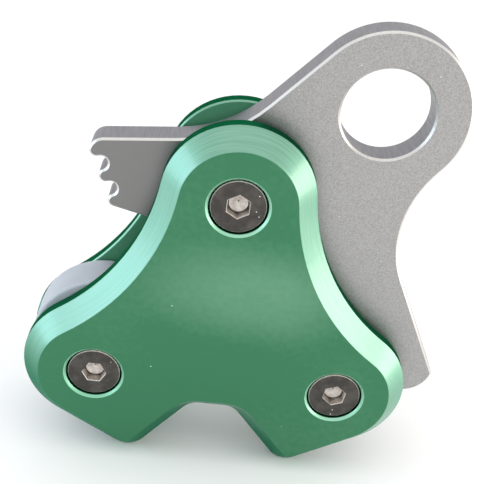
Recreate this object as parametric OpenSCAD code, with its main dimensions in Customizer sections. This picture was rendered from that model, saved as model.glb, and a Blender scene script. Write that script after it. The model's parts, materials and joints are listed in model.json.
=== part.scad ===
// Lever cam rope grab: two chamfered side plates on three screws, with a rope
// shoe and a roller on the lower screws and a toothed cam lever on the upper one.
// Units are mm, Z is up, and the front plate faces -Y.

/* [Side plates] */
// spacing of the two lower screws
bolt_span = 60; // [56:0.5:66]
// height of the pivot screw over the lower screws
bolt_rise = 49.5; // [47:0.5:53]
// outer radius of the three rounded lobes
lobe_r = 18; // [17:0.25:19.5]
// thickness of one side plate
plate_t = 8.4; // [7.8:0.2:10]
// clear gap between the side plates
plate_gap = 12; // [12:0.5:15]
// width of the outer chamfer, seen on the face
chamfer_w = 4.4; // [3:0.2:4.8]
// depth of the outer chamfer
chamfer_d = 5; // [4:0.25:5.5]
// radius of the hollow flanks between the lobes
flank_r = 54; // [48:1:64]

/* [Notch] */
// depth of the notch roof under the lower screws
notch_drop = 9.6; // [8.5:0.2:11]
// half width of the notch roof
notch_half = 5.5; // [4.5:0.25:6.5]
// slope of the notch walls
notch_angle = 50; // [46:1:54]
// radius in the notch's two roof corners
notch_r = 5; // [3.5:0.25:6]
// slope of the two bottom edges
base_angle = 30; // [27:0.5:32]
// radius of the two bottom corners
corner_r = 5.5; // [5:0.25:7]

/* [Cam lever] */
// thickness of the lever
lever_t = 8; // [7.6:0.2:8.4]
// bevel on the lever's edges
lever_bevel = 0.5; // [0.3:0.1:0.8]
// centre of the connector eye, across from the pivot
eye_x = 31; // [29:0.5:33]
// centre of the connector eye, over the pivot
eye_z = 22; // [20.5:0.5:23.5]
// bore of the connector eye
eye_bore = 21.4; // [18:0.2:24]
// outer radius of the connector eye
eye_r = 19.1; // [18:0.1:20.5]
// slope of the neck's upper edge
neck_angle = 48; // [46:1:51]
// radius of the hollow between neck and toothed arm
neck_r = 32; // [26:1:36]
// radius of the hollow under the eye
waist_r = 27.5; // [24:0.5:30]
// distance of the release arm's outer edge from the pivot
arm_edge = 29.3; // [28.5:0.1:30.5]
// lean of the release arm's outer edge
arm_lean = 26.5; // [25.5:0.25:27.5]
// radius of the release arm's rounded end
arm_end_r = 7.5; // [7:0.1:8]

/* [Teeth] */
// lowest tooth, across from the pivot
tooth_x = 28.6; // [27.5:0.1:29.5]
// lowest tooth, under the pivot
tooth_z = 6.75; // [6:0.25:7.5]
// pitch of the three teeth
tooth_pitch = 6.6; // [6:0.1:7]
// lean of the row of teeth
tooth_lean = 21.7; // [19:0.5:24]
// radius of a tooth's tip
tooth_r = 1.55; // [1.3:0.05:1.8]
// radius of the toothed arm's upper corner
heel_r = 3.6; // [3:0.1:4.4]

/* [Screws, sleeves and rope guides] */
// diameter of a screw's thread
bolt_d = 8; // [7:0.5:8]
// diameter of a screw's low head
head_d = 13; // [12:0.25:13.5]
// height of a screw's head
head_h = 5; // [4:0.25:5.2]
// width across flats of a screw's socket
socket_af = 5; // [4:0.5:6]
// outer diameter of the three spacer sleeves
sleeve_d = 10; // [9.6:0.2:10.8]
// radius of the right roller
roller_r = 15.4; // [14.6:0.1:16]
// radius of the rope shoe
shoe_r = 17.5; // [16.5:0.25:18]
// height of the shoe's centre over the left screw
shoe_rise = 3.7; // [3:0.1:4.2]
// wall of the bushes in the lever and roller
bush_wall = 1.5; // [1.2:0.1:1.8]

/* [Stop and spring] */
// angle over which the cam closes
cam_travel = 60; // [50:1:62]
// diameter of the stop pin
stop_d = 5; // [4:0.25:5.5]
// gap between the stop pin and the open lever
stop_rest = 0.8; // [0.5:0.1:1.2]
// wire of the return spring
wire_d = 1.1; // [0.8:0.05:1.15]
// mean radius of the return spring's coils
coil_r = 9.3; // [9.1:0.05:9.6]
// turns of the return spring, with its last quarter turn
coil_turns = 2.25; // [1.25:1:2.25]

/* [Hidden] */
$fn = 96;
running = 0.06;
slip = 0.15;
apart = 0.35;
slack = 0.1;
inner_edge = 0.4;
touch = 0.05;
wall_t = plate_t - chamfer_d;
half_gap = plate_gap / 2;

function polar(r, a) = r * [cos(a), sin(a)];
function to3(p, z = 0) = [p.x, p.y, z];
function bearing(p, q) = atan2(q.y - p.y, q.x - p.x);
function arc(c, r, from, to, steps) = [for (i = [0:steps]) c + polar(r, from + (to - from) * i / steps)];
// an arc that goes on from the point where the last one ended
function arc_on(c, r, from, to, steps) = [for (i = [1:steps]) c + polar(r, from + (to - from) * i / steps)];

// Plate outline, right half, seen from the front with the pivot at the origin.
right_bolt = [bolt_span / 2, -bolt_rise];
left_bolt_at = [-bolt_span / 2, -bolt_rise];
bolts = [[0, 0], left_bolt_at, right_bolt];
bolt_reach = norm(right_bolt);
flank_out = [bolt_rise, bolt_span / 2] / bolt_reach;
flank_c = right_bolt / 2 + flank_out * sqrt(pow(flank_r + lobe_r, 2) - pow(bolt_reach / 2, 2));
// The flank's arc, from the right lobe up to the top lobe, seen from its centre.
flank_from = bearing(flank_c, right_bolt) + 360;
flank_to = bearing(flank_c, [0, 0]) + 360;
base_out = polar(1, base_angle - 90);
notch_top = -bolt_rise - notch_drop;
notch_corner = [notch_half, notch_top];
notch_turn = 90 - notch_angle / 2;
notch_c = notch_corner + polar(notch_r / sin(notch_turn), 270 - notch_angle / 2);
notch_out = polar(1, 270 - notch_angle);
// The bottom corner's centre lies one corner radius inside both edges.
base_level = base_out * right_bolt + lobe_r - corner_r;
wall_level = notch_out * notch_corner - corner_r;
corner_det = base_out.x * notch_out.y - base_out.y * notch_out.x;
corner_c = [base_level * notch_out.y - base_out.y * wall_level,
            base_out.x * wall_level - base_level * notch_out.x] / corner_det;

// Right half of the outline from the notch's roof to the top, drawn in by a distance.
function half_plate(in) = concat(
    arc(notch_c, notch_r + in, 90, 90 - notch_angle, 6),
    arc(corner_c, corner_r - in, 270 - notch_angle, 270 + base_angle, 10),
    arc(right_bolt, lobe_r - in, base_angle - 90, flank_from - 180, 24),
    arc_on(flank_c, flank_r + in, flank_from, flank_to, 16),
    arc_on([0, 0], lobe_r - in, flank_to - 180, 90, 14));
function plate_outline(in) =
    let (half = half_plate(in))
    concat(half, [for (i = [len(half) - 2:-1:0]) [-half[i].x, half[i].y]]);

// Lever outline, seen from the front in the closing direction's start pose.
eye_c = [eye_x, eye_z];
neck_out = polar(1, neck_angle + 90);
neck_top = eye_c + eye_r * neck_out;
tooth_dir = polar(1, 90 + tooth_lean);
teeth = [for (k = [0:2]) [-tooth_x, -tooth_z] + k * tooth_pitch * tooth_dir];
valley_r = tooth_pitch / 2 - tooth_r;
valleys = [for (k = [0:1]) (teeth[k] + teeth[k + 1]) / 2];
heel_turn = 169;
heel_c = teeth[2] - polar(heel_r - tooth_r, heel_turn);
arm_top_angle = 6.5;
arm_out = polar(1, arm_top_angle + 90);
heel_top = heel_c + heel_r * arm_out;
// The neck's hollow touches the neck's edge and the toothed arm's top edge.
neck_level = neck_out * neck_top + neck_r;
arm_level = arm_out * heel_top + neck_r;
neck_det = neck_out.x * arm_out.y - neck_out.y * arm_out.x;
neck_c = [neck_level * arm_out.y - neck_out.y * arm_level,
          neck_out.x * arm_level - neck_level * arm_out.x] / neck_det;
// Lower edges: from the lowest tooth past the hub, then to the web's corner.
hub_r = 14.5;
web_r = 4;
web_angle = 115;
open_gap = 0.8;
stop_clear = roller_r + open_gap;
web_c = right_bolt + polar(stop_clear + web_r, web_angle);
under_angle = atan2(tooth_z, tooth_x) - asin((hub_r - tooth_r) / norm(teeth[0])) - 90;
inner_angle = atan2(web_c.y, web_c.x) + asin((hub_r - web_r) / norm(web_c)) - 90;
belly_r = 20;
belly_c = polar((hub_r + belly_r) / cos((under_angle - inner_angle) / 2),
                (under_angle + inner_angle) / 2);
// Release arm: a straight outer edge, a hollow under the eye, a rounded end.
lean_out = polar(1, arm_lean);
lean_dir = polar(1, arm_lean - 90);
end_turn = 12.5;
end_off = 2.8;
end_reach = stop_clear + end_off;
end_c = right_bolt + polar(end_reach, end_turn);
// The rounded end runs from its corner on the roller's side to its corner on the outer edge.
function end_from(in) =
    let (r = arm_end_r - in)
    let (clear = stop_clear + in)
    end_turn - 180 + acos((end_reach * end_reach + r * r - clear * clear) / (2 * end_reach * r));
function end_to(in) = arm_lean - acos((arm_edge - in - lean_out * end_c) / (arm_end_r - in));
end_tip = end_c + polar(arm_end_r, end_to(0));
waist_off = arm_edge + waist_r - lean_out * eye_c;
waist_c = eye_c + waist_off * lean_out
          + sqrt(pow(eye_r + waist_r, 2) - pow(waist_off, 2)) * lean_dir;
waist_from = bearing(waist_c, eye_c);
function stop_turn(in) = bearing(right_bolt, end_c + polar(arm_end_r - in, end_from(in)));
row_up = 90 + tooth_lean;
row_down = tooth_lean - 90;
function tooth(k, in, from, to) = arc_on(teeth[k], tooth_r - in, from, to, 10);
function valley(k, in) = arc_on(valleys[k], valley_r + in, row_up, row_down, 8);
// Whole outline from the eye round by the teeth to the release arm, drawn in by a distance.
function lever_outline(in) = concat(
    arc_on(eye_c, eye_r - in, waist_from - 180, neck_angle + 90, 40),
    arc(neck_c, neck_r + in, neck_angle - 90, arm_top_angle - 90, 8),
    arc(heel_c, heel_r - in, arm_top_angle + 90, heel_turn, 8),
    tooth(2, in, heel_turn, row_down + 360),
    valley(1, in),
    tooth(1, in, row_up, row_down + 360),
    valley(0, in),
    tooth(0, in, row_up, under_angle + 360),
    arc(belly_c, belly_r + in, under_angle + 180, inner_angle + 180, 5),
    arc(web_c, web_r - in, inner_angle + 360, web_angle + 180, 6),
    arc_on(right_bolt, stop_clear + in, web_angle, stop_turn(in), 24),
    arc_on(end_c, arm_end_r - in, end_from(in), end_to(in), 12),
    arc(waist_c, waist_r + in, arm_lean + 180, waist_from, 14));

// The stop pin meets the toothed arm's lower edge just past the cam's travel,
// and stands a small gap away from the web's edge while the cam is open.
stop_past = 1.5;
shut_out = polar(1, under_angle + cam_travel + stop_past);
open_out = polar(1, inner_angle);
shut_level = hub_r + stop_d / 2;
open_level = shut_level + stop_rest;
stop_det = shut_out.x * open_out.y - shut_out.y * open_out.x;
stop_at = [shut_level * open_out.y - shut_out.y * open_level,
           shut_out.x * open_level - shut_level * open_out.x] / stop_det;
stop_reach = norm(stop_at);
stop_seat = 3;

// Return spring, in a ring pocket in the lever's back.
sleeve_r = sleeve_d / 2;
bush_r = sleeve_r + running + bush_wall;
pocket_wall = 1.35;
coil_room = 2.1;
pocket_floor = 0.4;
pocket_in = bush_r + pocket_wall;
pocket_out = coil_r + coil_room;
pocket_d = lever_t / 2 - pocket_floor;
leg_w = -lever_t / 2 - apart - wire_d / 2;
coil_rise = pocket_d;
leg_gap = stop_d / 2 + wire_d / 2 + touch;
leg_angle = atan2(stop_at.y, stop_at.x) + acos((coil_r + leg_gap) / stop_reach);
leg_length = 24;
tang_length = 2.6;
tang_room = 0.8;
tang_hole = 3.2;
tang_angle = leg_angle + 360 * coil_turns;
rings_a_turn = 16;

// Rope shoe: a disc set off its screw, so that it stands above the plates' flanks.
shoe_lean = 0.9;
shoe_edge = 0.5;
shoe_w = plate_gap - 2 * apart;
shoe_c = left_bolt_at + [shoe_lean, shoe_rise];

// Where the assembly stands: base at Z = 0, middle of its box on X = 0.
shift_x = (bolt_span / 2 + lobe_r - end_tip.x) / 2;
shift_z = corner_r - corner_c.y;

head_gap = 0.35;
head_sink = 0.2;
counterbore_d = head_h + head_sink;
bolt_r = bolt_d / 2;
clear_r = bolt_r + slip;
nut_h = 4;
nut_af = 1.625 * bolt_d;
nut_edge = 0.5;
nut_sink = 0.5;
washer_t = 0.5;
washer_brim = 4.5;
thrust_brim = 5;
back_brim = 2.4;
thrust_t = half_gap - lever_t / 2 - apart - slack;
roller_w = plate_gap - 2 * (washer_t + apart);
roller_edge = 0.5;
roller_bush_r = bush_r + roller_edge;

green = "#4a8a66";
steel = "#97948f";
dark_steel = "#4b4644";
bright_steel = "#b9bcc0";
bronze = "#a8834a";
white = "#dcdee2";

// Edge profiles: how far the surface is drawn in, at which height.
plate_rim = [[inner_edge, 0], [0, inner_edge], [0, wall_t], [chamfer_w, plate_t]];
lever_rim = [[lever_bevel, -lever_t / 2], [0, lever_bevel - lever_t / 2],
             [0, lever_t / 2 - lever_bevel], [lever_bevel, lever_t / 2]];

// A solid whose faces follow the outlines drawn at each height, and a tube alike.
module skin(rings) {
    n = len(rings[0]);
    top = len(rings) - 1;
    sides = [for (i = [0:top - 1], k = [0:n - 1])
        [n * (i + 1) + k, n * (i + 1) + (k + 1) % n, n * i + (k + 1) % n, n * i + k]];
    ends = [[for (k = [0:n - 1]) k], [for (k = [n - 1:-1:0]) n * top + k]];
    polyhedron([for (r = rings, p = r) p], concat(sides, ends));
}

// A flat stock cut to an outline, with the edge profile all round. The profile is
// drawn a little past both faces of the stock, so that the faces stay whole.
module edged(outline, rim) {
    past = 0.1;
    stock = 300;
    high = len(rim) - 1;
    drawn = concat([rim[0] + past * (rim[0] - rim[1])],
                   [for (i = [1:high - 1]) rim[i]],
                   [rim[high] + past * (rim[high] - rim[high - 1])]);
    intersection() {
        skin([for (p = drawn) [for (q = outline(p.x)) to3(q, p.y)]]);
        translate([-stock / 2, -stock / 2, rim[0].y]) cube([stock, stock, rim[high].y - rim[0].y]);
    }
}

// Cutter for a round bore with the edge profile on it.
module rim_bore(c, r, rim) {
    sides = [for (p = rim) [r + p.x, p.y]];
    low = sides[0];
    high = sides[len(sides) - 1];
    translate(to3(c))
        rotate_extrude()
            polygon(concat([low - [low.x, 1], low - [0, 1]], sides, [high + [0, 1], high + [-high.x, 1]]));
}

// From the outline's frame (across, up, toward the front) to the standing part.
module standing() {
    translate([shift_x, 0, shift_z])
        rotate([90, 0, 0])
            children();
}

module ring(r_out, r_in, w_low, w_high, edge = 0) {
    translate([0, 0, w_low])
        rotate_extrude()
            polygon([[r_in, edge], [r_in + edge, 0], [r_out - edge, 0], [r_out, edge],
                     [r_out, w_high - w_low - edge], [r_out - edge, w_high - w_low],
                     [r_in + edge, w_high - w_low], [r_in, w_high - w_low - edge]]);
}

module plain_ring(r_out, r_in, w_low, w_high) {
    translate([0, 0, w_low])
        rotate_extrude()
            translate([r_in, 0])
                square([r_out - r_in, w_high - w_low]);
}

module hexagon(af, h) {
    cylinder(r = af / sqrt(3), h = h, $fn = 6);
}

// One plate with its inner face at height 0, before the screw seats are cut.
module plate_blank() {
    difference() {
        edged(function (in) plate_outline(in), plate_rim);
        for (b = bolts) translate(to3(b, -1)) cylinder(r = clear_r, h = plate_t + 2);
        translate(to3(stop_at, -1)) cylinder(d = stop_d, h = stop_seat + 1);
    }
}

module front_plate() {
    seat_r = head_d / 2 + head_gap;
    lip = 0.6;
    color(green) standing()
        translate([0, 0, half_gap])
            difference() {
                plate_blank();
                for (b = bolts) translate(to3(b, plate_t)) {
                    translate([0, 0, -counterbore_d]) cylinder(r = seat_r, h = counterbore_d + 1);
                    translate([0, 0, -lip]) cylinder(r1 = seat_r, r2 = seat_r + 2 * lip, h = 2 * lip);
                }
            }
}

module back_plate() {
    pocket = nut_h + nut_sink;
    color(green) standing()
        mirror([0, 0, 1])
            translate([0, 0, half_gap])
                difference() {
                    plate_blank();
                    for (b = bolts) translate(to3(b, plate_t - pocket))
                        hexagon(nut_af + 2 * slip, pocket + 1);
                }
}

module cam_lever() {
    color(steel) standing()
        difference() {
            edged(function (in) lever_outline(in), lever_rim);
            rim_bore(eye_c, eye_bore / 2, lever_rim);
            translate([0, 0, -lever_t]) cylinder(r = bush_r, h = 2 * lever_t);
            plain_ring(pocket_out, pocket_in, -lever_t, pocket_d - lever_t / 2);
            translate(to3(polar(coil_r, tang_angle), -1))
                cylinder(d = wire_d + tang_room, h = tang_hole);
        }
}

module lever_bush() {
    color(bronze) standing() plain_ring(bush_r, sleeve_r + running, -lever_t / 2, lever_t / 2);
}

module spacer_sleeve(at) {
    color(bright_steel) standing()
        translate(to3(at)) plain_ring(sleeve_r, clear_r, -half_gap, half_gap);
}

module pivot_sleeve() { spacer_sleeve(bolts[0]); }
module left_sleeve() { spacer_sleeve(bolts[1]); }
module right_sleeve() { spacer_sleeve(bolts[2]); }

// The shoe is pressed on the left sleeve, which the screw clamps between the plates.
module rope_shoe() {
    color(white) standing()
        difference() {
            translate(to3(shoe_c, -shoe_w / 2))
                rotate_extrude()
                    polygon([[0, 0], [shoe_r - shoe_edge, 0], [shoe_r, shoe_edge],
                             [shoe_r, shoe_w - shoe_edge], [shoe_r - shoe_edge, shoe_w], [0, shoe_w]]);
            translate(to3(left_bolt_at, -plate_gap)) cylinder(r = sleeve_r, h = 2 * plate_gap);
        }
}

module right_roller() {
    color(white) standing()
        translate(to3(right_bolt)) ring(roller_r, roller_bush_r, -roller_w / 2, roller_w / 2, roller_edge);
}

module right_roller_bush() {
    side = roller_w / 2 - roller_edge;
    color(bronze) standing()
        translate(to3(right_bolt)) plain_ring(roller_bush_r, sleeve_r + running, -side, side);
}

module right_washers() {
    color(bright_steel) standing()
        for (side = [0, 1]) mirror([0, 0, side])
            translate(to3(right_bolt))
                plain_ring(sleeve_r + washer_brim, sleeve_r + slip, half_gap - washer_t, half_gap);
}

module front_thrust_washer() {
    color(bright_steel) standing()
        plain_ring(sleeve_r + thrust_brim, sleeve_r + slip, half_gap - thrust_t, half_gap);
}

module back_thrust_washer() {
    color(bright_steel) standing()
        plain_ring(sleeve_r + back_brim, sleeve_r + slip, -half_gap, thrust_t - half_gap);
}

// Low-head socket screw, its head sunk in the front plate.
module bolt(at, turn) {
    top = half_gap + plate_t - head_sink;
    under = top - head_h;
    tip_short = 0.3;
    tip_edge = 0.8;
    tip = -half_gap - plate_t + nut_sink + tip_short;
    socket_d = head_h * 0.55;
    edge = 0.25;
    color(dark_steel) standing()
        translate(to3(at))
            difference() {
                rotate_extrude()
                    polygon([[0, tip], [bolt_r - tip_edge, tip], [bolt_r, tip + tip_edge], [bolt_r, under],
                             [head_d / 2, under], [head_d / 2, top - edge],
                             [head_d / 2 - edge, top], [0, top]]);
                rotate(turn) translate([0, 0, top - socket_d]) hexagon(socket_af, socket_d + 1);
                translate([0, 0, top - socket_d - 1])
                    cylinder(r1 = 2 * slack, r2 = socket_af / 2 - slack, h = 1 + slack);
            }
}

module pivot_bolt() { bolt(bolts[0], 30); }
module left_bolt() { bolt(bolts[1], 0); }
module right_bolt_screw() { bolt(bolts[2], 22); }

// Thin hexagon nut, sunk in the back plate.
module nut(at) {
    low = -half_gap - plate_t + nut_sink;
    corner = nut_af / sqrt(3);
    color(dark_steel) standing()
        translate(to3(at, low))
            difference() {
                intersection() {
                    hexagon(nut_af, nut_h);
                    rotate_extrude()
                        polygon([[0, 0], [nut_af / 2, 0], [corner, nut_edge], [corner, nut_h], [0, nut_h]]);
                }
                translate([0, 0, -1]) cylinder(r = bolt_r + touch, h = nut_h + 2);
            }
}

module pivot_nut() { nut(bolts[0]); }
module left_nut() { nut(bolts[1]); }
module right_nut() { nut(bolts[2]); }

module stop_pin() {
    length = half_gap + stop_seat - slack;
    color(bright_steel) standing()
        translate(to3(stop_at)) translate([0, 0, -length]) cylinder(d = stop_d, h = 2 * length);
}

// Torsion spring as one tube: a tang in the lever, the coils, a leg on the stop pin.
coil_rings = round(rings_a_turn * coil_turns);
up = [0, 0, 1];
function coil_angle(i) = tang_angle - 360 * coil_turns * i / coil_rings;
function outward(a) = to3(polar(1, a));
function onward(a) = [sin(a), -cos(a), 0];
function coil_point(i) = to3(polar(coil_r, coil_angle(i)), leg_w + coil_rise * (1 - i / coil_rings));
function ring_points(c, a, b) = [for (k = [0:5]) c + wire_d / 2 * (cos(60 * k) * a + sin(60 * k) * b)];

module return_spring() {
    start = coil_angle(0);
    stop = coil_angle(coil_rings);
    tang_end = coil_point(0) + tang_length * up;
    leg_end = coil_point(coil_rings) + leg_length * onward(stop);
    rings = concat(
        [ring_points(tang_end, outward(start), onward(start))],
        [ring_points(coil_point(0), outward(start), up + onward(start))],
        [for (i = [1:coil_rings]) ring_points(coil_point(i), outward(coil_angle(i)), up)],
        [ring_points(leg_end, outward(stop), up)]);
    far = rings_a_turn * 3 / 4;
    gaps = [for (i = [0:coil_rings - far], j = [i + far:coil_rings])
        norm(coil_point(i) - coil_point(j)) - wire_d];
    echo(spring_least_self_gap = min(gaps));
    color(bright_steel) standing()
        skin(rings);
}

front_plate();
back_plate();
cam_lever();
lever_bush();
pivot_sleeve();
left_sleeve();
right_sleeve();
rope_shoe();
right_roller();
right_roller_bush();
right_washers();
front_thrust_washer();
back_thrust_washer();
pivot_bolt();
left_bolt();
right_bolt_screw();  // right_bolt
pivot_nut();
left_nut();
right_nut();
stop_pin();
return_spring();
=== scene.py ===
import json
import math

import bpy
from bpy.props import FloatProperty, FloatVectorProperty, PointerProperty
from mathutils import Matrix, Vector

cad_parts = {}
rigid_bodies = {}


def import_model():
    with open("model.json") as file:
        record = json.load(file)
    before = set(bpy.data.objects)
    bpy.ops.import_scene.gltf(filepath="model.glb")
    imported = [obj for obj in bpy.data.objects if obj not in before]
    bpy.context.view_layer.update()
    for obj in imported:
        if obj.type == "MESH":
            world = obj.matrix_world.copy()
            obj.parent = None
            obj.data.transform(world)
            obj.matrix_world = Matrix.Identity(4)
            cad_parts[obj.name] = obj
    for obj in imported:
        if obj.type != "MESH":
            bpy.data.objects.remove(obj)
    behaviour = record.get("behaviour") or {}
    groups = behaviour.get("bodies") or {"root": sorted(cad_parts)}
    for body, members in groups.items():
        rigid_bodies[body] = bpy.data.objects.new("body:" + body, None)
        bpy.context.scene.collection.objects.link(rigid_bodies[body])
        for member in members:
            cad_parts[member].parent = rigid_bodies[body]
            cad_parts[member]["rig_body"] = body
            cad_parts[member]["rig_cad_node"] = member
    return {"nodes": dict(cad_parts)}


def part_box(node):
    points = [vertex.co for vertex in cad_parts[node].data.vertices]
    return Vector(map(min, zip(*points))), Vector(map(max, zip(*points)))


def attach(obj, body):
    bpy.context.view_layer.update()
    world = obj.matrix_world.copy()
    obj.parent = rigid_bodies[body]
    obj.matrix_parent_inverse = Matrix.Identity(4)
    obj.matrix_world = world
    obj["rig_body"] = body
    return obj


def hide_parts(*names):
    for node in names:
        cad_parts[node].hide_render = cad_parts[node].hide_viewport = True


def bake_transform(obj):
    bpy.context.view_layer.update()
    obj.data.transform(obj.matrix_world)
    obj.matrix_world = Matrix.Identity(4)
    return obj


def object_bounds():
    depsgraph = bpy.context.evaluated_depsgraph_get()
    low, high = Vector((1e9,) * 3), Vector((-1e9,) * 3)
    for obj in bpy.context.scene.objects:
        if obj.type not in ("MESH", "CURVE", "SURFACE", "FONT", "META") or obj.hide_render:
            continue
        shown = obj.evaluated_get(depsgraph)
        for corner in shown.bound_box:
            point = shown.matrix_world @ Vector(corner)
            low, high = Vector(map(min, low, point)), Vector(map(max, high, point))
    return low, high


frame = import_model()
cad_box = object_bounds()

bl_info = {
    "name": "Lever cam rope grab",
    "version": (1, 0, 0),
    "blender": (4, 5, 0),
    "location": "3D View > Sidebar > Rope grab",
    "description": "Dresses the packed rope grab with its pieces, finishes and stage",
    "category": "Object",
}

MM = 0.001
SMOOTH = math.radians(33)  # blunter edges than this are shaded smooth and stay unbroken
MERGE = 0.002 * MM  # points closer than this are one point
COPLANAR = math.radians(0.4)  # faces that turn by less than this are one face
# How far a face's normal leans along the depth tells walls, bevels and flat faces apart.
WALL, FACE, SQUARE = 0.35, 0.95, 0.99
NOISE = {"From Min": 0.3, "From Max": 0.7}  # where nearly all of a noise texture's values lie


def linear(hex_colour):
    """An sRGB hex colour as linear red, green, blue and alpha."""
    parts = [int(hex_colour[i:i + 2], 16) / 255 for i in (1, 3, 5)]
    return [p / 12.92 if p <= 0.04045 else ((p + 0.055) / 1.055) ** 2.4 for p in parts] + [1.0]


def per_metre(size_mm):
    """Texture scale at which one cell of a pattern is this large."""
    return 1 / (size_mm * MM)


def tint(name, description, hex_colour):
    """A colour that a user may change."""
    return FloatVectorProperty(name=name, description=description, subtype="COLOR", size=4,
                               min=0, max=1, default=linear(hex_colour))


def length(name, description, mm):
    """A length that a user may change, with its default in millimetres."""
    return FloatProperty(name=name, description=description, unit="LENGTH", min=0,
                         precision=5, default=mm * MM)


def watts(name, description, power):
    """A lamp's power that a user may change."""
    return FloatProperty(name=name, description=description, unit="POWER", min=0, default=power)


class PlateSettings(bpy.types.PropertyGroup):
    """Side plates: colours of the dyed oxide and sizes of the machined detail."""

    dye: tint("Face colour", "Dyed oxide on the blasted faces", "#3f7f5c")
    # Paler tone for the clouds, and for the painted highlight across the middle of the face.
    paler_dye_and_highlight: tint("Face light", "Paler dye in the middle of the face", "#6da182")
    wall: tint("Wall colour", "Dyed oxide on the profiled walls", "#1f664b")
    wall_light: tint("Wall light", "Paler marks of the cutter on the walls", "#2f7459")
    wall_gloss: tint("Wall gloss", "Tint of what the walls mirror at a flat angle", "#5f9c86")
    # Painted light: both tones of the faces toward the rope are paler than the outer dye, standing
    # in for light in the gap between the plates.
    inner: tint("Inner colour", "Dull dyed oxide on the faces toward the rope", "#5a9f7c")
    inner_shade: tint("Inner shade", "Deeper clouds on the faces toward the rope", "#4f9370")
    milled: tint("Chamfer colour", "The same dye over a bright milled cut", "#6aa38a")
    milled_light: tint("Chamfer light", "Crests of the cutter's lines", "#80b49d")
    milled_gloss: tint("Chamfer gloss", "Tint of what the cut mirrors at a flat angle", "#9fd6bd")
    lip: tint("Lip colour", "Dye over the finer cut round the screw heads", "#8ccdac")
    lip_light: tint("Lip light", "Crests of the finer cut", "#a4dcc0")
    # Painted shade: darker green laid on the chamfers along the lower edges, where they mirror
    # shaded surroundings.
    foot_shade: tint("Foot colour", "Deeper dye along the plates' lower edges", "#267c5a")
    speck: tint("Speck colour", "Dust and pinpoint nicks", "#c6e6d4")
    edge: length("Broken edge", "Radius to which sharp edges are broken", 0.14)
    # Centre of the painted highlight on the faces.
    middle: FloatVectorProperty(name="Middle", description="Middle of the plates' faces",
                                subtype="XYZ", unit="LENGTH", precision=5,
                                default=(2 * MM, 0, 52 * MM))
    line: length("Cutter line", "Distance between the cutter's lines on the chamfer", 0.24)
    grit: length("Blast grit", "Size of the blasted dimples", 0.3)
    lip_reach: length("Lip reach", "Farthest that a screw's lip lies from its axis", 8)


class LeverSettings(bpy.types.PropertyGroup):
    """Cam lever: colours of the tumbled steel, its cut walls and its ground edge."""

    steel: tint("Steel", "Tumbled stainless steel", "#bbbab9")
    # Painted shade: darker grey laid on the toothed arm.
    steel_dark: tint("Steel, dark grain", "Hollows of the tumbled grain", "#979695")
    arm_shade: tint("Hardened steel", "Darker grey of the hardened toothed arm", "#868584")
    cut: tint("Cut wall", "Dull walls of the cut outline", "#97969a")
    cut_dark: tint("Cut wall, marks", "Darker marks of the cut", "#8a898d")
    ground: tint("Ground edge", "Bright bevel round the lever", "#dddbd7")
    ground_dull: tint("Ground edge, marks", "Duller marks of the grinding", "#cccac6")
    grain: length("Grain", "Size of the tumbled grain", 0.28)


class ScrewSettings(bpy.types.PropertyGroup):
    """Screws and nuts: colours of the black oxide and of the worn steel, which is also painted
    light in the sockets.
    """

    oxide: tint("Black oxide", "Oiled black oxide on the heads", "#494643")
    oxide_worn: tint("Black oxide, rubbed", "Oxide rubbed thin", "#5f5b57")
    # Worn steel and dust; its very pale tone is also painted light inside the shaded sockets.
    bare: tint("Bare steel", "Steel in the sockets and on the rims", "#f2ece6")
    bare_dull: tint("Bare steel, dull", "Streaks that the key hasn't burnished", "#b4aca5")
    edge: length("Broken edge", "Radius to which sharp edges are broken", 0.08)
    lead: length("Lead-in", "Width of the bevel round the socket's mouth", 0.16)
    sink: length("Sink", "How much deeper a head's face sits than its solid's", 0.55)
    socket: length("Socket reach", "Farthest that the socket lies from the axis", 3.4)
    head: length("Head", "Depth behind the solid's face in which a screw wears", 4)


class RunningSettings(bpy.types.PropertyGroup):
    """Rope shoe, roller, bushes and small hardware."""

    acetal: tint("Acetal", "White plastic of the shoe and roller", "#b0b6bd")
    acetal_shade: tint("Acetal, rubbed", "Where the rope has rubbed", "#a8aeb6")
    bronze: tint("Bronze", "Sintered bronze of the bushes", "#a8834a")
    bronze_dark: tint("Bronze, pores", "Oil in the pores of the bronze", "#7c5d30")
    zinc: tint("Zinc", "Bright zinc plating of washers, sleeves and pin", "#b9bcc0")
    zinc_dark: tint("Zinc, dull", "Duller crystals of the zinc", "#8f949a")
    spring: tint("Spring steel", "Drawn wire of the return spring", "#a9abb0")
    spring_dark: tint("Spring steel, dull", "Duller drawn wire", "#7d8086")
    edge: length("Broken edge", "Radius of the shoe's and roller's edges", 0.25)
    swell: length("Wire swell", "What the spring's wire gains before it is rounded", 0.11)


class StageSettings(bpy.types.PropertyGroup):
    """Floor, lamps and camera."""

    paper: tint("Floor", "White paper floor", "#fbfbfb")
    ambient: FloatProperty(name="Ambient", description="Level of the light from all sides",
                           min=0, default=1.0)
    left_lamp: watts("Left lamp", "Power of the left softbox in watts", 0.95)
    left_tint: tint("Left tint", "Cool light of the left softbox", "#c9e6ff")
    right_lamp: watts("Right lamp", "Power of the right softbox in watts", 1.6)
    right_tint: tint("Right tint", "Warm light of the right softbox", "#fff4ea")
    top_lamp: watts("Top lamp", "Power of the overhead softbox in watts", 0.6)
    top_tint: tint("Top tint", "Neutral light of the overhead softbox", "#ffffff")
    focal: FloatProperty(name="Lens", min=1, unit="CAMERA", default=67.24,
                         description="Focal length in millimetres on a 36 mm wide image")


SETTINGS = {
    "plates": PlateSettings,
    "lever": LeverSettings,
    "screws": ScrewSettings,
    "running": RunningSettings,
    "stage": StageSettings,
}


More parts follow.
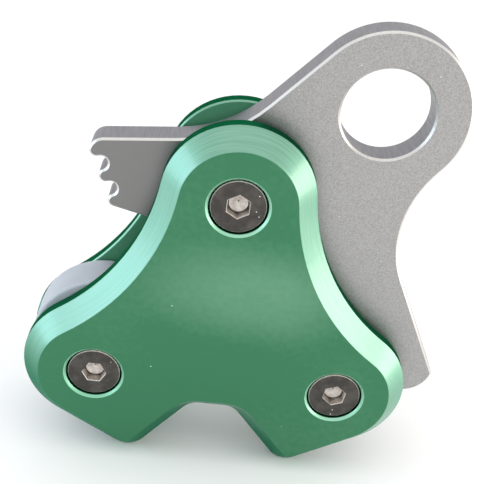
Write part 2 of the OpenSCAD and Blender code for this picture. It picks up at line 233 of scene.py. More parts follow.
class RopeGrabSettings(bpy.types.PropertyGroup):
    """All that a user would change on the rope grab."""

    plates: PointerProperty(type=PlateSettings)
    lever: PointerProperty(type=LeverSettings)
    screws: PointerProperty(type=ScrewSettings)
    running: PointerProperty(type=RunningSettings)
    stage: PointerProperty(type=StageSettings)


def add(tree, kind, sockets=None, **settings):
    """Adds a node with its settings, and fills or links its sockets."""
    made = tree.nodes.new(kind)
    for name, value in settings.items():
        setattr(made, name, value)
    for name, value in (sockets or {}).items():
        if isinstance(value, bpy.types.NodeSocket):
            tree.links.new(value, made.inputs[name])
        else:
            made.inputs[name].default_value = value
    return made


def new_material(name):
    """A material without nodes, its tree, and the object's own coordinates."""
    made = bpy.data.materials.new(name)
    made.use_nodes = True
    tree = made.node_tree
    tree.nodes.clear()
    place = add(tree, "ShaderNodeTexCoord").outputs["Object"]
    return made, tree, place


def scattered(tree, place, spacing_mm, radius, channel, above):
    """1 inside a few small dots and 0 elsewhere. A dot's radius is a share of the spacing,
    and only those whose random colour channel lies above the given level are kept."""
    dots = add(tree, "ShaderNodeTexVoronoi",
               {"Vector": place, "Scale": per_metre(spacing_mm), "Randomness": 1.0})
    near = add(tree, "ShaderNodeMath", {0: dots.outputs["Distance"], 1: radius},
               operation="LESS_THAN")
    lucky = add(tree, "ShaderNodeSeparateColor", {"Color": dots.outputs["Color"]})
    few = add(tree, "ShaderNodeMath", {0: lucky.outputs[channel], 1: above},
              operation="GREATER_THAN")
    kept = add(tree, "ShaderNodeMath", {0: near.outputs[0], 1: few.outputs[0]},
               operation="MULTIPLY")
    return kept.outputs[0]


def anodised_blasted(s):
    """Dyed anodised aluminium, bead blasted: a satin green metal under a clear oxide skin,
    with a fine even grain, a cloudy dye, a painted highlight that makes a band across the middle
    paler, and a few specks."""
    made, tree, place = new_material("anodised_aluminium_blasted")
    cloud_mm, mottle_mm, speck_mm = 34, 1.6, 5
    # The real grain is about 0.05 mm; it is drawn coarser so that it shows.
    grain = add(tree, "ShaderNodeTexNoise",
                {"Vector": place, "Scale": per_metre(s.grit / MM),
                 "Detail": 3.0, "Roughness": 0.6})
    cloud = add(tree, "ShaderNodeTexNoise",
                {"Vector": place, "Scale": per_metre(cloud_mm), "Detail": 2.0})
    mottle = add(tree, "ShaderNodeTexNoise",
                 {"Vector": place, "Scale": per_metre(mottle_mm), "Detail": 4.0})
    # Painted highlight: a soft level band across the middle of the face is made paler, as the
    # lamps' broad reflection would.
    highlight_band = (0.8, 0.0, 1.5)
    from_middle = add(tree, "ShaderNodeVectorMath", {0: place, 1: s.middle}, operation="SUBTRACT")
    level = add(tree, "ShaderNodeVectorMath", {0: from_middle.outputs["Vector"], 1: highlight_band},
                operation="MULTIPLY")
    reach = add(tree, "ShaderNodeVectorMath", {0: level.outputs["Vector"]}, operation="LENGTH")
    middle = add(tree, "ShaderNodeMapRange",
                 {"Value": reach.outputs["Value"], "From Min": 4 * MM, "From Max": 27 * MM,
                  "To Min": 0.85, "To Max": 0.0}, interpolation_type="SMOOTHSTEP")
    drift = add(tree, "ShaderNodeMapRange",
                {"Value": cloud.outputs["Fac"], **NOISE, "To Min": -0.15, "To Max": 0.15})
    stain = add(tree, "ShaderNodeMapRange",
                {"Value": mottle.outputs["Fac"], **NOISE, "To Min": -0.09, "To Max": 0.09})
    uneven = add(tree, "ShaderNodeMath",
                 {0: drift.outputs["Result"], 1: stain.outputs["Result"]}, operation="ADD")
    # Painted highlight in the middle, plus the random clouds and mottle of the dye.
    highlight_and_clouds = add(tree, "ShaderNodeMath", {0: middle.outputs["Result"], 1: uneven.outputs[0]},
                operation="ADD", use_clamp=True)
    dye_and_highlight = add(tree, "ShaderNodeMix",
               {"Factor": highlight_and_clouds.outputs[0], "A": list(s.dye), "B": list(s.paler_dye_and_highlight)},
               data_type="RGBA")
    specks = scattered(tree, place, speck_mm, radius=0.032, channel="Red", above=0.7)
    colour = add(tree, "ShaderNodeMix",
                 {"Factor": specks, "A": dye_and_highlight.outputs["Result"], "B": list(s.speck)},
                 data_type="RGBA")
    rough = add(tree, "ShaderNodeMapRange",
                {"Value": grain.outputs["Fac"], **NOISE, "To Min": 0.38, "To Max": 0.5})
    relief = add(tree, "ShaderNodeBump",
                 {"Height": grain.outputs["Fac"], "Strength": 0.25, "Distance": 0.012 * MM})
    skin = add(tree, "ShaderNodeBsdfPrincipled",
               {"Base Color": colour.outputs["Result"], "Metallic": 1.0,
                "Roughness": rough.outputs["Result"], "Normal": relief.outputs["Normal"],
                "Coat Weight": 0.2, "Coat Roughness": 0.4, "Coat IOR": 1.6})
    add(tree, "ShaderNodeOutputMaterial", {"Surface": skin.outputs["BSDF"]})
    return made


def anodised_milled(s, name, low, high, foot_shade):
    """The same dyed oxide over a bright milled cut: paler, glossier, with the cutter's fine
    lines running along the contour, slight flats where its path turned, and a painted
    shade that darkens it toward the lower edges."""
    made, tree, place = new_material(name)
    run_mm, flat_mm = 14, 6
    # Lines of equal depth follow the outline, so the pattern is drawn out along the plate
    # and fine across its thickness. Real lines are about 0.1 mm apart and wouldn't show.
    along = add(tree, "ShaderNodeMapping",
                {"Vector": place,
                 "Scale": (per_metre(run_mm), per_metre(s.line / MM), per_metre(run_mm))})
    lines = add(tree, "ShaderNodeTexNoise",
                {"Vector": along.outputs["Vector"], "Scale": 1.0, "Detail": 2.0})
    crest = add(tree, "ShaderNodeMapRange",
                {"Value": lines.outputs["Fac"], **NOISE, "To Min": 0.0, "To Max": 1.0})
    across = add(tree, "ShaderNodeMapping",
                 {"Vector": place, "Scale": (per_metre(flat_mm), 0.0, per_metre(flat_mm))})
    flats = add(tree, "ShaderNodeTexNoise",
                {"Vector": across.outputs["Vector"], "Scale": 1.0, "Detail": 1.0})
    cut = add(tree, "ShaderNodeMix",
              {"Factor": crest.outputs["Result"], "A": list(low), "B": list(high)},
              data_type="RGBA")
    # Painted shade: the darker tone along the lower edges stands in for the shaded surroundings
    # they mirror, and reaches higher on the left.
    shade_tilt = (0.2, 0.0, 1.0)
    height = add(tree, "ShaderNodeVectorMath", {0: place, 1: shade_tilt}, operation="DOT_PRODUCT")
    at_foot = add(tree, "ShaderNodeMapRange",
                  {"Value": height.outputs["Value"], "From Min": 8 * MM, "From Max": 27 * MM,
                   "To Min": 1.0, "To Max": 0.0}, interpolation_type="SMOOTHSTEP")
    colour = add(tree, "ShaderNodeMix",
                 {"Factor": at_foot.outputs["Result"], "A": cut.outputs["Result"],
                  "B": list(foot_shade)}, data_type="RGBA")
    rough = add(tree, "ShaderNodeMapRange",
                {"Value": lines.outputs["Fac"], **NOISE, "To Min": 0.48, "To Max": 0.56})
    # The clear skin is thinner at the foot, where the plates are set down.
    sealed = add(tree, "ShaderNodeMapRange",
                 {"Value": at_foot.outputs["Result"], "To Min": 0.75, "To Max": 0.2})
    turned = add(tree, "ShaderNodeBump",
                 {"Height": flats.outputs["Fac"], "Strength": 0.2, "Distance": 0.3 * MM})
    relief = add(tree, "ShaderNodeBump",
                 {"Height": lines.outputs["Fac"], "Strength": 0.2, "Distance": 0.01 * MM,
                  "Normal": turned.outputs["Normal"]})
    skin = add(tree, "ShaderNodeBsdfPrincipled",
               {"Base Color": colour.outputs["Result"], "Metallic": 1.0,
                "Roughness": rough.outputs["Result"], "Normal": relief.outputs["Normal"],
                "Specular Tint": list(s.milled_gloss), "Coat Weight": sealed.outputs["Result"],
                "Coat Roughness": 0.2, "Coat IOR": 1.77})
    add(tree, "ShaderNodeOutputMaterial", {"Surface": skin.outputs["BSDF"]})
    return made


def anodised_walled(s):
    """The dyed oxide over the plates' profiled walls: deep green and dull, with faint upright
    cutter marks."""
    made, tree, place = new_material("anodised_aluminium_profiled")
    mark_mm, run_mm = 0.5, 8
    upright_marks = add(tree, "ShaderNodeMapping",
                        {"Vector": place,
                         "Scale": (per_metre(mark_mm), per_metre(run_mm), per_metre(mark_mm))})
    marks = add(tree, "ShaderNodeTexNoise",
                {"Vector": upright_marks.outputs["Vector"], "Scale": 1.0, "Detail": 2.0})
    tone = add(tree, "ShaderNodeMix",
               {"Factor": marks.outputs["Fac"], "A": list(s.wall), "B": list(s.wall_light)},
               data_type="RGBA")
    rough = add(tree, "ShaderNodeMapRange",
                {"Value": marks.outputs["Fac"], **NOISE, "To Min": 0.4, "To Max": 0.52})
    skin = add(tree, "ShaderNodeBsdfPrincipled",
               {"Base Color": tone.outputs["Result"], "Metallic": 1.0,
                "Roughness": rough.outputs["Result"], "Specular Tint": list(s.wall_gloss)})
    add(tree, "ShaderNodeOutputMaterial", {"Surface": skin.outputs["BSDF"]})
    return made


def anodised_inner(s):
    """The dyed oxide on the faces toward the rope: a flat green, painted paler than the outer
    faces to stand in for light reaching into the gap between the plates.
    """
    made, tree, place = new_material("anodised_aluminium_inner")
    cloud_mm = 5
    cloud = add(tree, "ShaderNodeTexNoise",
                {"Vector": place, "Scale": per_metre(cloud_mm), "Detail": 4.0})
    tone = add(tree, "ShaderNodeMix",
               {"Factor": cloud.outputs["Fac"], "A": list(s.inner), "B": list(s.inner_shade)},
               data_type="RGBA")
    rough = add(tree, "ShaderNodeMapRange",
                {"Value": cloud.outputs["Fac"], **NOISE, "To Min": 0.5, "To Max": 0.6})
    skin = add(tree, "ShaderNodeBsdfPrincipled",
               {"Base Color": tone.outputs["Result"], "Metallic": 0.5,
                "Roughness": rough.outputs["Result"]})
    add(tree, "ShaderNodeOutputMaterial", {"Surface": skin.outputs["BSDF"]})
    return made


def tumbled_steel(s):
    """Stainless steel plate, tumbled after cutting: an even grey satin with a fine pebbled
    grain, scattered bright nicks, and a painted shade that darkens the toothed arm."""
    made, tree, place = new_material("stainless_steel_tumbled")
    nick_mm = 3.2
    grain = add(tree, "ShaderNodeTexNoise",
                {"Vector": place, "Scale": per_metre(s.grain / MM),
                 "Detail": 4.0, "Roughness": 0.65})
    tone = add(tree, "ShaderNodeMapRange",
               {"Value": grain.outputs["Fac"], "From Min": 0.35, "From Max": 0.65,
                "To Min": 0.0, "To Max": 1.0})
    mottled = add(tree, "ShaderNodeMix",
                  {"Factor": tone.outputs["Result"], "A": list(s.steel_dark),
                   "B": list(s.steel)}, data_type="RGBA")
    # Painted shade: the toothed arm, toward negative x, is mixed toward a darker grey.
    across = add(tree, "ShaderNodeSeparateXYZ", {"Vector": place})
    shaded_arm = add(tree, "ShaderNodeMapRange",
                 {"Value": across.outputs["X"], "From Min": -24 * MM, "From Max": 14 * MM,
                  "To Min": 1.0, "To Max": 0.0}, interpolation_type="SMOOTHSTEP")
    darker = add(tree, "ShaderNodeMix",
                 {"Factor": shaded_arm.outputs["Result"], "A": mottled.outputs["Result"],
                  "B": list(s.arm_shade)}, data_type="RGBA")
    nicks = scattered(tree, place, nick_mm, radius=0.05, channel="Green", above=0.75)
    colour = add(tree, "ShaderNodeMix",
                 {"Factor": nicks, "A": darker.outputs["Result"], "B": list(s.ground)},
                 data_type="RGBA")
    rough = add(tree, "ShaderNodeMapRange",
                {"Value": grain.outputs["Fac"], **NOISE, "To Min": 0.4, "To Max": 0.52})
    relief = add(tree, "ShaderNodeBump",
                 {"Height": grain.outputs["Fac"], "Strength": 0.3, "Distance": 0.015 * MM})
    skin = add(tree, "ShaderNodeBsdfPrincipled",
               {"Base Color": colour.outputs["Result"], "Metallic": 1.0,
                "Roughness": rough.outputs["Result"], "Normal": relief.outputs["Normal"]})
    add(tree, "ShaderNodeOutputMaterial", {"Surface": skin.outputs["BSDF"]})
    return made


def cut_steel(s):
    """The walls of the cut outline, left dull under the bright bevel: a flat cool grey with
    faint marks of the cut running across the thickness."""
    made, tree, place = new_material("stainless_steel_cut")
    # Real marks of the cut are about 0.1 mm apart; they are drawn coarser so that they show.
    mark_mm, run_mm = 0.4, 6
    upright_marks = add(tree, "ShaderNodeMapping",
                        {"Vector": place,
                         "Scale": (per_metre(mark_mm), per_metre(run_mm), per_metre(mark_mm))})
    marks = add(tree, "ShaderNodeTexNoise",
                {"Vector": upright_marks.outputs["Vector"], "Scale": 1.0, "Detail": 2.0})
    tone = add(tree, "ShaderNodeMix",
               {"Factor": marks.outputs["Fac"], "A": list(s.cut), "B": list(s.cut_dark)},
               data_type="RGBA")
    rough = add(tree, "ShaderNodeMapRange",
                {"Value": marks.outputs["Fac"], **NOISE, "To Min": 0.42, "To Max": 0.55})
    relief = add(tree, "ShaderNodeBump",
                 {"Height": marks.outputs["Fac"], "Strength": 0.15, "Distance": 0.02 * MM})
    skin = add(tree, "ShaderNodeBsdfPrincipled",
               {"Base Color": tone.outputs["Result"], "Metallic": 1.0,
                "Roughness": rough.outputs["Result"], "Normal": relief.outputs["Normal"]})
    add(tree, "ShaderNodeOutputMaterial", {"Surface": skin.outputs["BSDF"]})
    return made


def ground_steel(s):
    """The lever's bevel, ground bright after tumbling: a near white line with faint
    grinding marks."""
    made, tree, place = new_material("stainless_steel_ground")
    mark_mm = 0.5
    marks = add(tree, "ShaderNodeTexNoise",
                {"Vector": place, "Scale": per_metre(mark_mm), "Detail": 3.0})
    rough = add(tree, "ShaderNodeMapRange",
                {"Value": marks.outputs["Fac"], **NOISE, "To Min": 0.36, "To Max": 0.48})
    tone = add(tree, "ShaderNodeMix",
               {"Factor": marks.outputs["Fac"], "A": list(s.ground), "B": list(s.ground_dull)},
               data_type="RGBA")
    skin = add(tree, "ShaderNodeBsdfPrincipled",
               {"Base Color": tone.outputs["Result"], "Metallic": 1.0,
                "Roughness": rough.outputs["Result"]})
    add(tree, "ShaderNodeOutputMaterial", {"Surface": skin.outputs["BSDF"]})
    return made


def black_oxide(s):
    """Oiled black oxide on alloy steel: a warm dark grey, satin, rubbed lighter in patches,
    with pale dust caught in it."""
    made, tree, place = new_material("alloy_steel_black_oxide")
    patch_mm, dust_mm = 3, 1.3
    rubbed = add(tree, "ShaderNodeTexNoise",
                 {"Vector": place, "Scale": per_metre(patch_mm), "Detail": 5.0, "Roughness": 0.6})
    thin = add(tree, "ShaderNodeMapRange",
               {"Value": rubbed.outputs["Fac"], "From Min": 0.42, "From Max": 0.72,
                "To Min": 0.0, "To Max": 1.0})
    worn = add(tree, "ShaderNodeMix",
               {"Factor": thin.outputs["Result"], "A": list(s.oxide), "B": list(s.oxide_worn)},
               data_type="RGBA")
    dust = scattered(tree, place, dust_mm, radius=0.1, channel="Blue", above=0.82)
    colour = add(tree, "ShaderNodeMix",
                 {"Factor": dust, "A": worn.outputs["Result"], "B": list(s.bare)},
                 data_type="RGBA")
    rough = add(tree, "ShaderNodeMapRange",
                {"Value": rubbed.outputs["Fac"], **NOISE, "To Min": 0.46, "To Max": 0.34})
    relief = add(tree, "ShaderNodeBump",
                 {"Height": rubbed.outputs["Fac"], "Strength": 0.2, "Distance": 0.02 * MM})
    skin = add(tree, "ShaderNodeBsdfPrincipled",
               {"Base Color": colour.outputs["Result"], "Metallic": 0.9,
                "Roughness": rough.outputs["Result"], "Normal": relief.outputs["Normal"]})
    add(tree, "ShaderNodeOutputMaterial", {"Surface": skin.outputs["BSDF"]})
    return made


def bare_lightened_steel(s):
    """Alloy steel worn bare by the key: a light warm grey with burnished streaks, kept very pale
    as painted light inside the shaded sockets.
    """
    made, tree, place = new_material("alloy_steel_worn_bare")
    streak_mm = 0.9
    streak = add(tree, "ShaderNodeTexNoise",
                 {"Vector": place, "Scale": per_metre(streak_mm), "Detail": 4.0})
    tone = add(tree, "ShaderNodeMix",
               {"Factor": streak.outputs["Fac"], "A": list(s.bare_dull), "B": list(s.bare)},
               data_type="RGBA")
    rough = add(tree, "ShaderNodeMapRange",
                {"Value": streak.outputs["Fac"], **NOISE, "To Min": 0.55, "To Max": 0.42})
    skin = add(tree, "ShaderNodeBsdfPrincipled",
               {"Base Color": tone.outputs["Result"], "Metallic": 1.0,
                "Roughness": rough.outputs["Result"]})
    add(tree, "ShaderNodeOutputMaterial", {"Surface": skin.outputs["BSDF"]})
    return made


def turned_acetal(s):
    """White acetal, turned: a soft waxy white that light enters a little way, with faint tool
    rings and light rubbing."""
    made, tree, place = new_material("acetal_white_turned")
    rub_mm, ring_mm, depth_mm = 6, 0.4, 3
    rub = add(tree, "ShaderNodeTexNoise",
              {"Vector": place, "Scale": per_metre(rub_mm), "Detail": 3.0})
    colour = add(tree, "ShaderNodeMix",
                 {"Factor": rub.outputs["Fac"], "A": list(s.acetal), "B": list(s.acetal_shade)},
                 data_type="RGBA")
    # Tool marks round the rim lie across its width, so they follow the depth.
    across = add(tree, "ShaderNodeMapping",
                 {"Vector": place, "Scale": (0.0, per_metre(ring_mm), 0.0)})
    rings = add(tree, "ShaderNodeTexNoise",
                {"Vector": across.outputs["Vector"], "Scale": 1.0, "Detail": 2.0})
    relief = add(tree, "ShaderNodeBump",
                 {"Height": rings.outputs["Fac"], "Strength": 0.15, "Distance": 0.02 * MM})
    rough = add(tree, "ShaderNodeMapRange",
                {"Value": rub.outputs["Fac"], **NOISE, "To Min": 0.36, "To Max": 0.46})
    skin = add(tree, "ShaderNodeBsdfPrincipled",
               {"Base Color": colour.outputs["Result"], "Roughness": rough.outputs["Result"],
                "IOR": 1.48, "Normal": relief.outputs["Normal"], "Subsurface Weight": 0.7,
                "Subsurface Radius": (1.0, 1.0, 1.0), "Subsurface Scale": depth_mm * MM})
    add(tree, "ShaderNodeOutputMaterial", {"Surface": skin.outputs["BSDF"]})
    return made


def plated_metal(name, colour, dark, cell_mm, rough_low, rough_high):
    """A small metal part with a mottled bright surface: plated, drawn or sintered by its
    cell size."""
    made, tree, place = new_material(name)
    cells = add(tree, "ShaderNodeTexNoise",
                {"Vector": place, "Scale": per_metre(cell_mm), "Detail": 4.0})
    tone = add(tree, "ShaderNodeMix",
               {"Factor": cells.outputs["Fac"], "A": list(colour), "B": list(dark)},
               data_type="RGBA")
    rough = add(tree, "ShaderNodeMapRange",
                {"Value": cells.outputs["Fac"], **NOISE,
                 "To Min": rough_low, "To Max": rough_high})
    relief = add(tree, "ShaderNodeBump",
                 {"Height": cells.outputs["Fac"], "Strength": 0.2, "Distance": 0.015 * MM})
    skin = add(tree, "ShaderNodeBsdfPrincipled",
               {"Base Color": tone.outputs["Result"], "Metallic": 1.0,
                "Roughness": rough.outputs["Result"], "Normal": relief.outputs["Normal"]})
    add(tree, "ShaderNodeOutputMaterial", {"Surface": skin.outputs["BSDF"]})
    return made


def cad_copy(node, name):
    """A piece that starts from a node's own mesh, with its loose triangles joined to whole
    faces."""
    bpy.ops.object.select_all(action="DESELECT")
    source = frame["nodes"][node]
    source.select_set(True)
    bpy.context.view_layer.objects.active = source
    bpy.ops.object.duplicate()
    piece = bpy.context.view_layer.objects.active
    bpy.ops.object.parent_clear(type="CLEAR")
    piece.name = name
    piece.data.name = name
    del piece["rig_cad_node"]
    del piece["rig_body"]
    piece.data.materials.clear()
    bpy.ops.object.mode_set(mode="EDIT")
    bpy.ops.mesh.customdata_custom_splitnormals_clear()
    bpy.ops.mesh.select_all(action="SELECT")
    bpy.ops.mesh.remove_doubles(threshold=MERGE)
    bpy.ops.mesh.dissolve_limited(angle_limit=COPLANAR)
    bpy.ops.object.mode_set(mode="OBJECT")
    return piece


def edit_only(piece, parts, test):
    """Enters edit mode with only those vertices, edges or polygons selected that pass the test."""
    kinds = ("vertices", "edges", "polygons")
    bpy.context.tool_settings.mesh_select_mode = [kind == parts for kind in kinds]
    bpy.ops.object.mode_set(mode="EDIT")
    bpy.ops.mesh.select_all(action="DESELECT")
    bpy.ops.object.mode_set(mode="OBJECT")
    for part in getattr(piece.data, parts):
        part.select = test(part)
    bpy.ops.object.mode_set(mode="EDIT")


def give_finish(piece, finish, test=None):
    """Gives a finish to all faces, or to those whose centre and normal pass the test."""
    piece.data.materials.append(finish)
    edit_only(piece, "polygons", lambda face: test is None or test(face.center, face.normal))
    piece.active_material_index = len(piece.data.materials) - 1
    bpy.ops.object.material_slot_assign()
    bpy.ops.object.mode_set(mode="OBJECT")


def break_edges(piece, width):
    """Rounds the sharp edges a little, and keeps the flat faces flat to the eye."""
    bevel = piece.modifiers.new("broken edge", "BEVEL")
    bevel.width = width
    bevel.segments = 2
    bevel.limit_method = "ANGLE"
    bevel.angle_limit = SMOOTH
    bevel.use_clamp_overlap = False
    bpy.ops.object.modifier_apply(modifier=bevel.name)
    bpy.ops.object.shade_smooth()
    even = piece.modifiers.new("even faces", "WEIGHTED_NORMAL")
    even.weight = 100
    bpy.ops.object.modifier_apply(modifier=even.name)


def hand_over(piece, body, slot, *nodes):
    """The piece rides on its body and stands for its nodes."""
    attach(piece, body)
    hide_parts(*nodes)


def slanted(centre, normal):
    """True for a bevel or chamfer."""
    return WALL < abs(normal.y) < FACE


def upright(centre, normal):
    """True for a wall across the thickness."""
    return abs(normal.y) <= WALL


def inward(centre, normal):
    """True for a flat face toward the middle of the depth, where the rope runs."""
    return abs(normal.y) >= FACE and centre.y * normal.y < 0


class ROPEGRAB_OT_side_plates(bpy.types.Operator):
    """Make the two green side plates with their milled chamfers and lips"""

    bl_idname = "ropegrab.side_plates"
    bl_label = "Side plates"

    def execute(self, context):
        s = context.scene.rope_grab.plates
        blasted = anodised_blasted(s)
        milled = anodised_milled(s, "anodised_aluminium_milled", s.milled, s.milled_light, s.foot_shade)
        lipped = anodised_milled(s, "anodised_aluminium_fine_milled", s.lip, s.lip_light, s.lip)
        walled = anodised_walled(s)
        lightened_inner = anodised_inner(s)
        screws = ("pivot_bolt", "left_bolt", "right_bolt")
        axes = [sum(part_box(node), Vector()) / 2 for node in screws]

        def round_a_screw(centre, normal):
            return slanted(centre, normal) and any(
                math.hypot(centre.x - axis.x, centre.z - axis.z) < s.lip_reach for axis in axes)

        for node, name in (("front_plate", "plate_front"), ("back_plate", "plate_back")):
            piece = cad_copy(node, name)
            give_finish(piece, blasted)
            give_finish(piece, milled, slanted)
            give_finish(piece, lipped, round_a_screw)
            give_finish(piece, walled, upright)
            # Faces toward the rope get the paler green that paints light into the gap.
            give_finish(piece, lightened_inner, inward)
            break_edges(piece, s.edge)
            hand_over(piece, "frame", "green_plate", node)
        return {"FINISHED"}


class ROPEGRAB_OT_cam_lever(bpy.types.Operator):
    """Make the steel cam lever with its bright ground bevel"""

    bl_idname = "ropegrab.cam_lever"
    bl_label = "Cam lever"

    def execute(self, context):
        s = context.scene.rope_grab.lever
        piece = cad_copy("cam_lever", "lever")
        give_finish(piece, tumbled_steel(s))
        give_finish(piece, ground_steel(s), slanted)
        give_finish(piece, cut_steel(s), upright)
        bpy.ops.object.shade_smooth_by_angle(angle=SMOOTH)
        hand_over(piece, "cam", "lever_steel", "cam_lever")
        return {"FINISHED"}


class ROPEGRAB_OT_screws(bpy.types.Operator):
    """Make the three socket screws, and finish their nuts"""

    bl_idname = "ropegrab.screws"
    bl_label = "Screws and nuts"

    def execute(self, context):
        s = context.scene.rope_grab.screws
        oxide = black_oxide(s)
        bare = bare_lightened_steel(s)
        for node, name in (("pivot_bolt", "screw_pivot"), ("left_bolt", "screw_left"),
                           ("right_bolt", "screw_right")):
            piece = cad_copy(node, name)
            low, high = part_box(node)
            middle = (low + high) / 2
            behind = low.y + s.head

            # Worn steel in the socket and on the rim; in the socket its pale tone is also painted
            # light in the shaded hollow.
            def rubbed(centre, normal):
                if centre.y >= behind:
                    return False
                reach = math.hypot(centre.x - middle.x, centre.z - middle.z)
                in_socket = reach < s.socket and normal.y > -SQUARE
                on_rim = -FACE < normal.y < -WALL
                return in_socket or on_rim

            self.sink_face(piece, s.sink)
            self.open_socket(piece, middle, s.socket, s.lead)
            give_finish(piece, oxide)
            give_finish(piece, bare, rubbed)
            break_edges(piece, s.edge)
            hand_over(piece, "frame", "dark_steel", node)
        for node in ("pivot_nut", "left_nut", "right_nut"):
            frame["nodes"][node].material_slots[0].material = oxide
        return {"FINISHED"}

    def sink_face(self, piece, depth):
        """Lowers the face of the head with its rim, so that it lies under the lip of its seat."""
        rim = 0.5 * MM
        top = min(point.co.y for point in piece.data.vertices)
        edit_only(piece, "vertices", lambda point: point.co.y < top + rim)
        bpy.ops.transform.translate(value=(0, depth, 0))
        bpy.ops.object.mode_set(mode="OBJECT")

    def open_socket(self, piece, middle, reach, lead):
        """Cuts a small lead-in along the mouth of the socket."""
        slack = 0.01 * MM
        points = [point.co.copy() for point in piece.data.vertices]
        top = min(p.y for p in points)
        mouth = [p.y < top + slack and math.hypot(p.x - middle.x, p.z - middle.z) < reach
                 for p in points]
        edit_only(piece, "edges", lambda edge: all(mouth[i] for i in edge.vertices))
        bpy.ops.mesh.bevel(offset=lead, segments=1, affect="EDGES")
        bpy.ops.object.mode_set(mode="OBJECT")


class ROPEGRAB_OT_guides(bpy.types.Operator):
    """Make the white rope shoe and roller, and finish the bushes"""

    bl_idname = "ropegrab.guides"
    bl_label = "Rope guides and bushes"

    def execute(self, context):
        s = context.scene.rope_grab.running
        acetal = turned_acetal(s)
        for node, name, body in (("rope_shoe", "shoe", "frame"),
                                 ("right_roller", "roller", "wheel")):
            piece = cad_copy(node, name)
            give_finish(piece, acetal)
            break_edges(piece, s.edge)
            hand_over(piece, body, "white_plastic", node)
        bronze = plated_metal("bronze_sintered", s.bronze, s.bronze_dark,
                              cell_mm=0.25, rough_low=0.35, rough_high=0.5)
        for node in ("lever_bush", "right_roller_bush"):
            frame["nodes"][node].material_slots[0].material = bronze
        return {"FINISHED"}


class ROPEGRAB_OT_hardware(bpy.types.Operator):
    """Make the return spring, and finish the sleeves, washers and stop pin"""

    bl_idname = "ropegrab.hardware"
    bl_label = "Spring and hardware"

    def execute(self, context):
        s = context.scene.rope_grab.running
        zinc = plated_metal("steel_zinc_plated", s.zinc, s.zinc_dark,
                            cell_mm=0.6, rough_low=0.25, rough_high=0.38)
        for node in ("pivot_sleeve", "left_sleeve", "right_sleeve", "right_washers",
                     "front_thrust_washer", "back_thrust_washer", "stop_pin"):
            frame["nodes"][node].material_slots[0].material = zinc
        wire = plated_metal("spring_steel_drawn", s.spring, s.spring_dark,
                            cell_mm=0.4, rough_low=0.28, rough_high=0.4)
        piece = cad_copy("return_spring", "spring_wire")
        give_finish(piece, wire)
        # The solid's tube has six sides; rounding it draws it in by a sixth of its radius.
        bpy.ops.object.mode_set(mode="EDIT")
        bpy.ops.mesh.select_all(action="SELECT")
        bpy.ops.transform.shrink_fatten(value=s.swell)
        bpy.ops.object.mode_set(mode="OBJECT")
        round_wire = piece.modifiers.new("round wire", "SUBSURF")
        round_wire.levels = round_wire.render_levels = 2
        bpy.ops.object.modifier_apply(modifier=round_wire.name)
        bpy.ops.object.shade_smooth()
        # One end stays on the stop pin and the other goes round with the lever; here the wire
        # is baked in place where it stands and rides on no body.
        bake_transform(piece)
        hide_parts("return_spring")
        return {"FINISHED"}


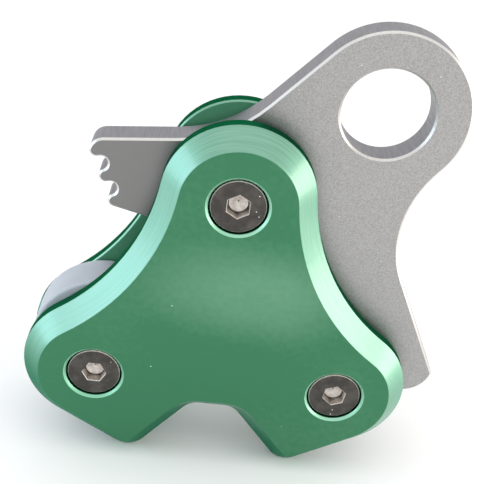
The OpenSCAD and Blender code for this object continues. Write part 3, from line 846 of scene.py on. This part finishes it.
class ROPEGRAB_OT_stage(bpy.types.Operator):
    """Make the white floor, the soft lamps and the camera"""

    bl_idname = "ropegrab.stage"
    bl_label = "Stage"

    def execute(self, context):
        s = context.scene.rope_grab.stage
        context.scene.view_settings.view_transform = "Standard"
        self.floor(s)
        self.ambient(context, s)
        self.lamps(s)
        self.camera(context, s)
        return {"FINISHED"}

    def floor(self, s):
        """Matt white paper with a faint fibre, just under the plates."""
        width_m, gap, fibre_mm = 8, 0.1 * MM, 2
        bpy.ops.object.select_all(action="DESELECT")
        bpy.ops.mesh.primitive_plane_add(size=width_m, location=(0, 0, -gap))
        floor = bpy.context.view_layer.objects.active
        floor.name = "floor"
        paper, tree, place = new_material("paper_white_matt")
        fibre = add(tree, "ShaderNodeTexNoise",
                    {"Vector": place, "Scale": per_metre(fibre_mm), "Detail": 3.0})
        relief = add(tree, "ShaderNodeBump",
                     {"Height": fibre.outputs["Fac"], "Strength": 0.05, "Distance": 0.05 * MM})
        matt = add(tree, "ShaderNodeBsdfDiffuse",
                   {"Color": list(s.paper), "Normal": relief.outputs["Normal"]})
        add(tree, "ShaderNodeOutputMaterial", {"Surface": matt.outputs[0]})
        floor.data.materials.append(paper)

    def seen(self, tree):
        """1 for what is seen, directly or in metal and glass, and 0 for light on the object."""
        path = add(tree, "ShaderNodeLightPath")
        metal = add(tree, "ShaderNodeMath",
                    {0: path.outputs["Is Camera Ray"], 1: path.outputs["Is Glossy Ray"]},
                    operation="ADD")
        glass = add(tree, "ShaderNodeMath",
                    {0: metal.outputs[0], 1: path.outputs["Is Transmission Ray"]},
                    operation="ADD", use_clamp=True)
        return glass.outputs[0]

    def ambient(self, context, s):
        """Even light from all sides, with a white background whatever its level."""
        white = (1, 1, 1, 1)
        world = bpy.data.worlds.new("studio")
        context.scene.world = world
        world.use_nodes = True
        tree = world.node_tree
        tree.nodes.clear()
        light = add(tree, "ShaderNodeBackground", {"Color": white, "Strength": s.ambient})
        backdrop = add(tree, "ShaderNodeBackground", {"Color": white, "Strength": 1.0})
        both = add(tree, "ShaderNodeMixShader",
                   {0: self.seen(tree), 1: light.outputs[0], 2: backdrop.outputs[0]})
        add(tree, "ShaderNodeOutputWorld", {"Surface": both.outputs[0]})

    def lamps(self, s):
        """Softboxes at the left and right and a weaker one overhead, all facing the object."""
        middle = (cad_box[0] + cad_box[1]) / 2
        for name, place, width, height, power, colour in (
            ("softbox_left", (-0.55, -0.10, 0.16), 0.34, 0.3, s.left_lamp, s.left_tint),
            ("softbox_right", (0.55, -0.12, 0.13), 0.4, 0.3, s.right_lamp, s.right_tint),
            ("softbox_top", (0.0, -0.22, 0.75), 0.9, 0.9, s.top_lamp, s.top_tint),
        ):
            bpy.ops.object.light_add(type="AREA", location=place)
            lamp = bpy.context.view_layer.objects.active
            lamp.name = name
            lamp.data.shape = "RECTANGLE"
            lamp.data.size = width
            lamp.data.size_y = height
            lamp.data.energy = power
            lamp.data.color = colour[:3]
            aim = middle - lamp.location
            lamp.rotation_euler = aim.to_track_quat("-Z", "Y").to_euler()

    def camera(self, context, s):
        """Where the photograph was taken from: above, a little to the left, rolled."""
        place = (-13.3 * MM, -200.2 * MM, 167.5 * MM)
        down, heading, roll = math.radians(28.463), math.radians(3.982), math.radians(8.131)
        data = bpy.data.cameras.new("view")
        camera = bpy.data.objects.new("view", data)
        context.scene.collection.objects.link(camera)
        turn = (Matrix.Rotation(-heading, 4, "Z") @ Matrix.Rotation(math.pi / 2 - down, 4, "X")
                @ Matrix.Rotation(roll, 4, "Z"))
        camera.matrix_world = Matrix.Translation(place) @ turn
        data.sensor_width = 36
        data.sensor_fit = "HORIZONTAL"
        data.lens = s.focal
        data.clip_start = 10 * MM
        context.scene.camera = camera


class ROPEGRAB_PT_panel(bpy.types.Panel):
    """Steps of the rope grab and their settings"""

    bl_idname = "ROPEGRAB_PT_panel"
    bl_label = "Rope grab"
    bl_space_type = "VIEW_3D"
    bl_region_type = "UI"
    bl_category = "Rope grab"

    def draw(self, context):
        for step in STEPS:
            self.layout.operator(step.bl_idname)
        for name, group in SETTINGS.items():
            box = self.layout.box()
            box.label(text=name.capitalize())
            for field in group.__annotations__:
                box.prop(getattr(context.scene.rope_grab, name), field)


STEPS = (
    ROPEGRAB_OT_side_plates,
    ROPEGRAB_OT_cam_lever,
    ROPEGRAB_OT_screws,
    ROPEGRAB_OT_guides,
    ROPEGRAB_OT_hardware,
    ROPEGRAB_OT_stage,
)
CLASSES = (*SETTINGS.values(), RopeGrabSettings, *STEPS, ROPEGRAB_PT_panel)


def register():
    for made in CLASSES:
        bpy.utils.register_class(made)
    bpy.types.Scene.rope_grab = PointerProperty(type=RopeGrabSettings)


def unregister():
    del bpy.types.Scene.rope_grab
    for made in reversed(CLASSES):
        bpy.utils.unregister_class(made)


def main():
    register()
    bpy.ops.ropegrab.side_plates()
    bpy.ops.ropegrab.cam_lever()
    bpy.ops.ropegrab.screws()
    bpy.ops.ropegrab.guides()
    bpy.ops.ropegrab.hardware()
    bpy.ops.ropegrab.stage()


if __name__ == "__main__":
    main()
